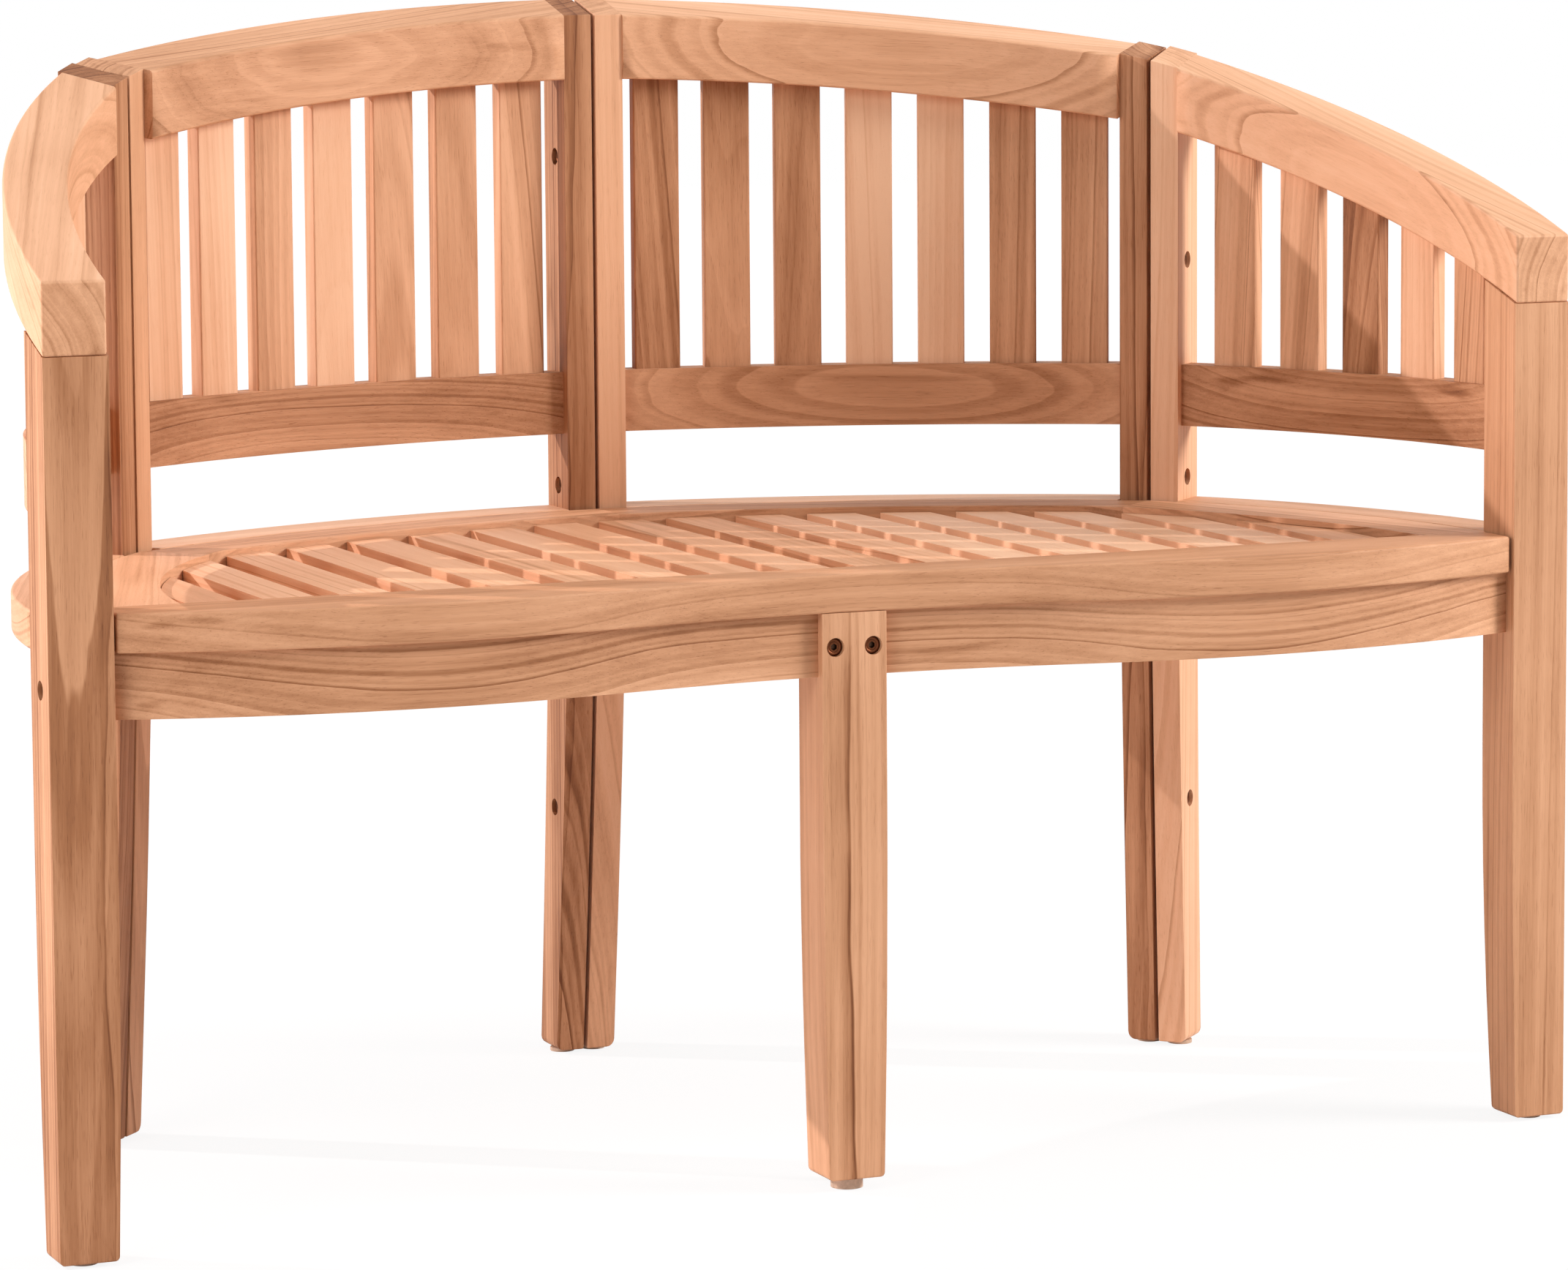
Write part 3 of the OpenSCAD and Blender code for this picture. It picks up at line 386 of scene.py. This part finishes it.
# Sizes that the pieces share, in metres: from the frame where it shows them, otherwise as in the solids
SIDES = {"left": -1, "right": 1}
Y0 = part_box("front_left_leg")[0].y
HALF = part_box("front_right_leg")[1].x
LEG_W = 0.047
LEG_D = 0.046
CENTRE_HALF = 0.0255
FRONT_RAIL = 0.040
ARM_H = 0.686
ARM_SLOPE = 0.347
TOP_T = 0.052
CORNER_ANGLE = math.radians(47)
CORNER = Vector((0.428, Y0 + 0.372, 0))
DEPTH = Vector((math.sin(CORNER_ANGLE), math.cos(CORNER_ANGLE), 0))
TO_ARM = Vector((DEPTH.y, -DEPTH.x, 0))
POST_D = 0.046
PAIR = 0.0252
BACK_Y = Y0 + 0.514


def arc_centre(p, q, r):
    """The middle of the circle of radius r through p and q."""
    chord = q - p
    away = Vector((chord.y, -chord.x, 0)).normalized()
    return (p + q) / 2 - math.sqrt(r * r - (chord.length / 2) ** 2) * away


REAR = CORNER + POST_D * DEPTH
ARM_R = 0.614
BACK_R = 0.890
ARM_C = arc_centre(Vector((HALF, Y0, 0)), REAR, ARM_R)
BACK_C = arc_centre(REAR, Vector((0, BACK_Y + POST_D, 0)), BACK_R)


# Rise of a top rail's grain over its run: a share of the run beside the arms, metres along the back
ARM_RISE = 0.33
BACK_RISE = 0.03

# The rails of a panel: inset from its outer face, thickness in metres, and radius of the edges in mm
RAILS = (
    ("top_rail", 0.0, 0.046, 2.2),
    ("mid_rail", 0.010, 0.024, 1.4),
    ("seat_rail", 0.0, POST_D, 2.0),
    ("apron", 0.013, 0.022, 1.6),
)

# Radii of the other eased edges, in mm
POST_EDGE = 2.2
FRAME_EDGE = 2.0
SMALL_EDGE = 1.5
SLAT_EDGE = 1.4
SEAT_SLAT_EDGE = 1.2
NUT_EDGE = 0.6

# Share of an edge's radius that is left where another piece meets it
CRISP = 0.0
TOUCHED = 0.1
UNDER_ARM = 0.25
PAIRED = 0.35
FREE = 1.0

SEAT_SLATS = 17
SEAT_SLAT = 0.038


def mirrored(v, side):
    return Vector((v.x * side, v.y, v.z))


PIECES = {}

# How light each board is, from the photo where it shows it, 0 being middling.
# A set of slats has one for each slat.
TONES = {
    "arm_left_apron": 0.01,
    "arm_left_mid_rail": 0.09,
    "arm_left_rear_post": -0.31,
    "arm_left_seat_rail": 0.05,
    "arm_left_slats": [-0.02, -0.06, -0.12, 0.04, 0.29],
    "arm_left_top_rail": 0.09,
    "arm_right_apron": 0.03,
    "arm_right_mid_rail": -0.23,
    "arm_right_rear_post": 0.21,
    "arm_right_seat_rail": 0.01,
    "arm_right_slats": [-0.07, 0.12, -0.4, 0.08, 0.02],
    "arm_right_top_rail": 0.16,
    "back_left_apron": 0.02,
    "back_left_inner_post": -0.19,
    "back_left_mid_rail": -0.22,
    "back_left_outer_post": -0.06,
    "back_left_seat_rail": 0.21,
    "back_left_slats": [0.24, 0.29, 0.02, 0.22, 0.05, -0.13, -0.01],
    "back_left_top_rail": -0.05,
    "back_right_apron": 0.01,
    "back_right_inner_post": 0.09,
    "back_right_mid_rail": -0.15,
    "back_right_outer_post": -0.19,
    "back_right_seat_rail": 0.37,
    "back_right_slats": [-0.28, -0.15, -0.18, 0.38, 0.38, -0.1, -0.11],
    "back_right_top_rail": 0.1,
    "front_centre_leg": -0.01,
    "front_left_apron": -0.13,
    "front_left_leg": -0.24,
    "front_right_apron": -0.06,
    "front_right_leg": -0.1,
    "seat_front_batten": 0.05,
    "seat_front_rail": -0.13,
    "seat_left_back_rail": -0.05,
    "seat_left_side_rail": 0.08,
    "seat_rear_batten": -0.04,
    "seat_rest_blocks": -0.03,
    "seat_right_back_rail": -0.15,
    "seat_right_side_rail": -0.01,
    "seat_slat_1": 0.14,
    "seat_slat_10": -0.04,
    "seat_slat_11": 0.19,
    "seat_slat_12": 0.37,
    "seat_slat_13": 0.3,
    "seat_slat_14": 0.37,
    "seat_slat_15": 0.37,
    "seat_slat_16": 0.37,
    "seat_slat_17": 0.1,
    "seat_slat_2": 0.33,
    "seat_slat_3": 0.26,
    "seat_slat_4": 0.23,
    "seat_slat_5": 0.06,
    "seat_slat_6": 0.14,
    "seat_slat_7": 0.13,
    "seat_slat_8": 0.19,
    "seat_slat_9": 0.07,
}


def piece(name, **changes):
    """The look of one board: seeded by its name, then changed where the photo shows its figure."""
    rng = random.Random("bench " + name)
    side = rng.choice((-1, 1))
    look = dict(
        pith=(rng.uniform(-50, 50), side * rng.uniform(35, 110)),
        tilt=(rng.uniform(-0.9, 0.9), rng.uniform(-0.7, 0.7)),
        tone=0.0 if name.endswith("_slats") else TONES.get(name, 0.0),
        spacing=rng.uniform(3.8, 6.2),
        figure=rng.uniform(0.8, 1.1),
    )
    look.update(changes)
    PIECES[name] = look


UP = Vector((0, 0, 1))
for node in NODES:
    piece(node)

# Boards sawn so that their lines run along the front face, and boards with the photo's arches
piece("seat_front_rail", pith=(-95, -30), tilt=(0.1, 0.25), figure=0.55, spacing=4.5)
piece("front_left_apron", pith=(-62, -22), tilt=(0.2, 0.5), spacing=5.5, figure=1.0)
piece("front_right_apron", pith=(-70, -30), tilt=(-0.1, -0.4), spacing=5.5, figure=1.0)
piece("back_right_mid_rail", pith=(-6, -46), tilt=(0.3, 0.2), spacing=6.0, figure=1.0)
piece("back_left_mid_rail", pith=(-60, -30), tilt=(0.2, 0.6), spacing=5.0, figure=0.8)
piece("arm_right_mid_rail", pith=(-50, -30), tilt=(0.1, 0.3), spacing=5.0, figure=0.8)
piece("front_left_leg", pith=(6, -40), tilt=(1.1, 0.1), spacing=5.6, figure=1.1, stain=(-16, 9, 0.14))
piece("front_right_leg", pith=(70, -50), tilt=(0.4, 0.2), spacing=4.6, figure=0.6)
piece("front_centre_leg", pith=(-60, -45), tilt=(0.3, 0.3), spacing=5.0, figure=0.7, stain=(4, 16, 0.3))
piece("back_left_inner_post", pith=(30, -60), stain=(4, 7, 0.14))
piece("back_right_outer_post", pith=(-30, -50), stain=(-8, 8, 0.14))


def look_of(name, centre, grain, face, **more):
    values = dict(PIECES[name])
    values.update(more)
    dress(name, teak(name, centre, grain, face, **values))


def narrowed(name, width):
    """A copy of a seat slat trimmed on both sides to width, which stands for the node."""
    node = NODES[name]
    mesh = bmesh.new()
    mesh.from_mesh(node.data)
    bmesh.ops.remove_doubles(mesh, verts=mesh.verts, dist=WELD)
    x = middle(name).x
    for side in SIDES.values():
        geom = list(mesh.verts) + list(mesh.edges) + list(mesh.faces)
        bmesh.ops.bisect_plane(mesh, geom=geom, dist=1e-6, plane_co=(x + side * width / 2, 0, 0),
                               plane_no=(side, 0, 0), clear_outer=True)
        rim = [edge for edge in mesh.edges if edge.is_boundary]
        bmesh.ops.holes_fill(mesh, edges=rim, sides=0)
    bmesh.ops.recalc_face_normals(mesh, faces=mesh.faces)
    data = bpy.data.meshes.new(name + "_board")
    mesh.to_mesh(data)
    mesh.free()
    data.materials.append(node.material_slots[0].material)
    board = bpy.data.objects.new(name + "_board", data)
    scene.collection.objects.link(board)
    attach(board, "root")
    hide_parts(name)
    return board


# Posts and legs
for word, side in SIDES.items():
    leg = f"front_{word}_leg"
    look_of(leg, middle(leg), UP, (0, -1, 0))
    slope = Vector((0, -ARM_SLOPE, 1))
    under = Vector((side * HALF, Y0, ARM_H - TOP_T))
    ease(NODES[leg], POST_EDGE, planes=[(under, slope, UNDER_ARM)])
    for name, sign in ((f"arm_{word}_rear_post", 1), (f"back_{word}_outer_post", -1)):
        look_of(name, middle(name), UP, mirrored(-DEPTH, side))
        joint = CORNER + sign * PAIR * TO_ARM
        ease(NODES[name], POST_EDGE, planes=[(mirrored(joint, side), mirrored(TO_ARM, side), PAIRED)])
    name = f"back_{word}_inner_post"
    look_of(name, middle(name), UP, (0, -1, 0))
    ease(NODES[name], POST_EDGE, planes=[((side * PAIR, 0, 0), (1, 0, 0), PAIRED)])
look_of("front_centre_leg", middle("front_centre_leg"), UP, (0, -1, 0))
ease(NODES["front_centre_leg"], POST_EDGE)

# Curved rails, aprons and slats
for word, side in SIDES.items():
    leg, arm_post = f"front_{word}_leg", f"arm_{word}_rear_post"
    outer, inner = f"back_{word}_outer_post", f"back_{word}_inner_post"
    arm_grain = top_of(arm_post) - top_of(leg)
    flat_arm = Vector((arm_grain.x, arm_grain.y, 0))
    arm_grain = Vector((flat_arm.x, flat_arm.y, flat_arm.length * ARM_RISE))
    back_grain = top_of(inner) - top_of(outer)
    flat_back = Vector((back_grain.x, back_grain.y, 0))
    back_grain = Vector((flat_back.x, flat_back.y, BACK_RISE))
    arm_face = Vector((flat_arm.y, -flat_arm.x, 0)) * (-1 if side > 0 else 1)
    back_face = Vector((flat_back.y, -flat_back.x, 0))
    back_face *= -1 if back_face.y > 0 else 1
    arm_c, back_c = mirrored(ARM_C, side), mirrored(BACK_C, side)
    arm_shoulder = (mirrored(CORNER + PAIR * TO_ARM, side), mirrored(TO_ARM, side), CRISP)
    leg_shoulder = ((0, Y0 + LEG_D, 0), (0, 1, 0), CRISP)
    back_shoulders = [(mirrored(CORNER - PAIR * TO_ARM, side), mirrored(TO_ARM, side), CRISP),
                      ((side * PAIR, 0, 0), (1, 0, 0), CRISP)]
    for part, inset, width, round_mm in RAILS:
        name = f"arm_{word}_{part}"
        grain = arm_grain if part == "top_rail" else flat_arm
        look_of(name, middle(name), grain, arm_face)
        ends = [arm_shoulder, leg_shoulder]
        if part == "top_rail":
            ends = [arm_shoulder, ((0, Y0, 0), (0, 1, 0), FREE)]
        ease(NODES[name], round_mm, (arm_c, ARM_R - inset, ARM_R - inset - width), ends)
        name = f"back_{word}_{part}"
        grain = back_grain if part == "top_rail" else flat_back
        look_of(name, middle(name), grain, back_face)
        ease(NODES[name], round_mm, (back_c, BACK_R - inset, BACK_R - inset - width), back_shoulders)
    for name, axis in ((f"arm_{word}_slats", 1), (f"back_{word}_slats", 0)):
        low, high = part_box(name)
        look_of(name, middle(name), UP, (0, -1, 0), each=(0.25, 0.25, 30.0), tilt=(2.6, -2.0),
                figure=0.95, tones=(axis, low[axis], high[axis], TONES[name]))
        ease(NODES[name], SLAT_EDGE)
    name = f"front_{word}_apron"
    look_of(name, middle(name), (1, 0, 0), (0, -1, 0))
    ease(NODES[name], SLAT_EDGE, planes=[((side * (HALF - LEG_W), 0, 0), (1, 0, 0), CRISP),
                                         ((side * CENTRE_HALF, 0, 0), (1, 0, 0), CRISP)])
    name = f"seat_{word}_side_rail"
    look_of(name, middle(name), flat_arm, UP)
    mitre = (mirrored(CORNER, side), mirrored(TO_ARM, side), TOUCHED)
    front_joint = ((0, Y0 + FRONT_RAIL, 0), (0, 1, 0), TOUCHED)
    ease(NODES[name], FRAME_EDGE, planes=[mitre, front_joint])
    name = f"seat_{word}_back_rail"
    look_of(name, middle(name), flat_back, UP)
    ease(NODES[name], FRAME_EDGE, planes=[mitre, ((0, 0, 0), (1, 0, 0), TOUCHED), front_joint])
look_of("seat_front_rail", middle("seat_front_rail"), (1, 0, 0), (0, -1, 0))
ease(NODES["seat_front_rail"], FRAME_EDGE, planes=[((0, Y0 + FRONT_RAIL, 0), (0, 1, 0), TOUCHED)])
for name in ("seat_front_batten", "seat_rear_batten"):
    look_of(name, middle(name), (1, 0, 0), (0, -1, 0))
    ease(NODES[name], SMALL_EDGE)
for i in range(1, SEAT_SLATS + 1):
    name = f"seat_slat_{i}"
    look_of(name, middle(name), (0, 1, 0), UP)
    board = narrowed(name, SEAT_SLAT)
    ease(board, SEAT_SLAT_EDGE)
look_of("seat_rest_blocks", middle("seat_rest_blocks"), (1, 0, 0), UP, each=(0.2, 0.2, 20.0))
ease(NODES["seat_rest_blocks"], SMALL_EDGE)


# Metal and plastic
# How far the fine grit of metal and plastic lightens and darkens it, and its stretch per metre
WEAR = 0.06
GRIT = (220.0, 220.0, 220.0)


def plain(name, colour, roughness, metallic=0.0):
    mat = bpy.data.materials.new(name)
    mat.use_nodes = True
    tree = mat.node_tree
    tree.nodes.clear()
    where = put(tree, "ShaderNodeTexCoord").outputs["Object"]
    grit = noise(tree, where, GRIT, 3.0, 0.6)
    light = tuple(min(1.0, c * (1 + 3 * WEAR)) for c in colour[:3]) + (1,)
    dark = tuple(c * (1 - 3 * WEAR) for c in colour[:3]) + (1,)
    tint = ramp(tree, grit, [(0.3, dark), (0.7, light)])
    rough = calc(tree, "MULTIPLY_ADD", grit, 0.2, roughness - 0.1)
    bump = put(tree, "ShaderNodeBump", {"Height": grit, "Strength": 0.2, "Distance": 0.0001})
    shader = put(tree, "ShaderNodeBsdfPrincipled", {
        "Base Color": tint, "Roughness": rough, "Metallic": metallic, "Normal": bump.outputs[0]})
    put(tree, "ShaderNodeOutputMaterial", {"Surface": shader.outputs[0]})
    return mat


BRONZE = plain("bolt_bronze", srgb(104, 60, 38), 0.4, 1.0)
# The hex socket's colour is darker than the head's: painted shade in the hole
SOCKET = plain("bolt_socket_painted_shade", srgb(74, 52, 40), 0.3, 1.0)
NYLON = plain("glide_nylon", srgb(204, 172, 148), 0.5)


def solids_of(obj):
    """The separate solids of a node, each as an array of its corner points."""
    mesh = bmesh.new()
    mesh.from_mesh(obj.data)
    bmesh.ops.remove_doubles(mesh, verts=mesh.verts, dist=WELD)
    left, found = set(mesh.verts), []
    while left:
        seed = left.pop()
        group, stack = [seed], [seed]
        while stack:
            for edge in stack.pop().link_edges:
                for vert in edge.verts:
                    if vert in left:
                        left.remove(vert)
                        group.append(vert)
                        stack.append(vert)
        found.append(np.array([v.co for v in group]))
    mesh.free()
    return found


# Share of a bolt's greatest radius beyond which a point counts as its head's
HEAD_SHARE = 0.9


def bolt_frame(points):
    """The outer end of a bolt, its direction and its length, from the points of its solid."""
    centre = points.mean(0)
    axis = Vector(np.linalg.svd(points - centre)[2][0])
    along = (points - centre) @ np.array(axis)
    across = np.linalg.norm(points - centre - np.outer(along, axis), axis=1)
    in_head = across > across.max() * HEAD_SHARE
    head = along[in_head]
    if head.mean() < 0:
        axis, along = -axis, -along
    on_axis = Vector(points[in_head].mean(0))
    on_axis += axis * (along.max() - (on_axis - Vector(centre)).dot(axis))
    return on_axis, axis, along.max() - along.min()


# Steps round a bolt, its shank's radius in mm, and the angle in degrees above which a crease stays sharp
TURNS = 48
SHANK = 3.0
CREASE = 50
# A bolt's head in section: radius and depth below its outer face, in mm. Negative radii follow the hexagon.
HEAD = [(3.0, 5.0), (6.5, 5.0), (6.5, 1.1), (6.35, 0.5), (5.9, 0.12), (5.2, 0.0), (4.5, 0.06), (4.15, 0.35),
        (3.95, 0.4), (3.75, 0.2), (3.4, 0.1), (-2.25, 0.12), (-2.1, 0.35), (-2.1, 3.0)]


def bolt_mesh(name, frames):
    mesh = bmesh.new()
    for outer, axis, length in frames:
        turn = axis.to_track_quat("Z", "Y").to_matrix()
        rings = []
        section = [(SHANK, length / MM)] + HEAD
        for radius, depth in section:
            ring = []
            for k in range(TURNS):
                angle = 2 * math.pi * k / TURNS
                reach = radius
                if radius < 0:
                    reach = -radius / math.cos((angle + math.pi / 6) % (math.pi / 3) - math.pi / 6)
                local = Vector((reach * math.cos(angle), reach * math.sin(angle), -depth)) * MM
                ring.append(mesh.verts.new(outer + turn @ local))
            rings.append(ring)
        mesh.faces.new(list(reversed(rings[0])))
        for i in range(len(rings) - 1):
            for k in range(TURNS):
                n = (k + 1) % TURNS
                face = mesh.faces.new((rings[i][k], rings[i][n], rings[i + 1][n], rings[i + 1][k]))
                face.smooth = True
                # The socket's walls, and below its floor, take the darker socket colour: painted shade in the
                # hole
                face.material_index = 1 if i >= len(section) - 3 else 0
        floor = mesh.faces.new(rings[-1])
        floor.material_index = 1
    data = bpy.data.meshes.new(name)
    mesh.to_mesh(data)
    mesh.free()
    obj = bpy.data.objects.new(name, data)
    scene.collection.objects.link(obj)
    data.materials.append(BRONZE)
    data.materials.append(SOCKET)
    edges = obj.modifiers.new("crisp", "EDGE_SPLIT")
    edges.split_angle = math.radians(CREASE)
    return obj


frames = [bolt_frame(p) for p in solids_of(NODES["bolts"])]
bolts = bolt_mesh("bolt_heads", frames)
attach(bolts, "root")
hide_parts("bolts")
for name in ("sleeve_nuts", "cross_dowels"):
    dress(name, BRONZE)
    ease(NODES[name], NUT_EDGE)
dress("glides", NYLON)
ease(NODES["glides"], SMALL_EDGE)


# Studio: a pale floor and a white surround for the camera and for reflections
WORLD_COLOUR = (1.0, 0.985, 0.97, 1)
WORLD_STRENGTH = 0.24
FLOOR_SIZE = 30
FLOOR_COLOUR = (0.86, 0.84, 0.82, 1)
FLOOR_GLOW = 1.02
# The floor turns to plain white between these distances, in metres, from the first share to the second
FADE = (0.7, 2.2, 0.87, 1.0)


def seen_as_white(tree, shader, white, share):
    path = put(tree, "ShaderNodeLightPath").outputs
    direct = calc(tree, "MAXIMUM", path["Is Camera Ray"], path["Is Glossy Ray"])
    direct = calc(tree, "MAXIMUM", direct, path["Is Transmission Ray"])
    return put(tree, "ShaderNodeMixShader", {
        0: calc(tree, "MULTIPLY", direct, share), 1: shader, 2: white}).outputs[0]


world = bpy.data.worlds.new("studio")
scene.world = world
world.use_nodes = True
wt = world.node_tree
wt.nodes.clear()
soft = put(wt, "ShaderNodeBackground", {"Color": WORLD_COLOUR, "Strength": WORLD_STRENGTH}).outputs[0]
white = put(wt, "ShaderNodeBackground", {"Color": (1, 1, 1, 1), "Strength": 1.0}).outputs[0]
put(wt, "ShaderNodeOutputWorld", {"Surface": seen_as_white(wt, soft, white, 1.0)})

bpy.ops.mesh.primitive_plane_add(size=FLOOR_SIZE, location=(0, 0, 0))
ground = bpy.context.object
ground.name = "floor"
floor_mat = bpy.data.materials.new("floor_white")
floor_mat.use_nodes = True
ft = floor_mat.node_tree
ft.nodes.clear()
matt = put(ft, "ShaderNodeBsdfDiffuse", {"Color": FLOOR_COLOUR}).outputs[0]
glow = put(ft, "ShaderNodeEmission", {"Color": (1, 1, 1, 1), "Strength": FLOOR_GLOW}).outputs[0]
spot = vector(ft, "LENGTH", put(ft, "ShaderNodeTexCoord").outputs["Object"], out=1)
put(ft, "ShaderNodeOutputMaterial", {
    "Surface": seen_as_white(ft, matt, glow, smooth(ft, spot, *FADE))})
ground.data.materials.append(floor_mat)


def area(name, place, target, size, power, colour=(1, 1, 1)):
    """A round lamp of the given size in metres and power in watts, aimed at target."""
    data = bpy.data.lights.new(name, "AREA")
    data.shape = "DISK"
    data.size = size
    data.energy = power
    data.color = colour
    obj = bpy.data.objects.new(name, data)
    obj.location = place
    obj.rotation_euler = (Vector(target) - Vector(place)).to_track_quat("-Z", "Y").to_euler()
    scene.collection.objects.link(obj)


# A small lamp from the left and behind throws the slats' stripes of light on the seat; the others are soft.
seat = Vector((0, 0, 0.45))
area("key", seat + 4.5 * Vector((-0.749, 0.487, 0.449)), seat, 0.05, 140, (1.0, 0.95, 0.98))
area("left_low", (-2.4, -0.35, 0.42), (0, 0, 0.35), 0.9, 15, (1.0, 0.96, 1.0))
area("left_high", (-2.1, -1.2, 1.6), seat, 1.1, 19)
area("right", seat + 4.2 * Vector((0.80, -0.44, 0.41)), seat, 1.6, 160)
area("overhead", seat + Vector((0, -0.3, 3.2)), seat, 2.4, 32, (0.92, 0.98, 1.0))

# The photo's viewing angle: the lens in mm, the eye in metres, and its turns in degrees
SENSOR = 36
FOCAL = 126.537
SHIFT = (-0.00083, -0.08853)
CLIP_END = 60
EYE = (-1.58986, -3.92107, 0.91358)
YAW = 22.888
PITCH = -5.761
ROLL = -0.398
lens_data = bpy.data.cameras.new("view")
lens_data.sensor_width = SENSOR
lens_data.lens = FOCAL
lens_data.shift_x, lens_data.shift_y = SHIFT
lens_data.clip_end = CLIP_END
camera = bpy.data.objects.new("view", lens_data)
scene.collection.objects.link(camera)
yaw, pitch, roll = math.radians(YAW), math.radians(PITCH), math.radians(ROLL)
ahead = Vector((math.sin(yaw) * math.cos(pitch), math.cos(yaw) * math.cos(pitch), math.sin(pitch)))
flat_right = Vector((math.cos(yaw), -math.sin(yaw), 0))
true_up = flat_right.cross(ahead)
right = flat_right * math.cos(roll) + true_up * math.sin(roll)
up = true_up * math.cos(roll) - flat_right * math.sin(roll)
turn = Matrix((right, up, -ahead)).transposed().to_4x4()
camera.matrix_world = Matrix.Translation(EYE) @ turn
scene.camera = camera

scene.view_settings.view_transform = "Standard"
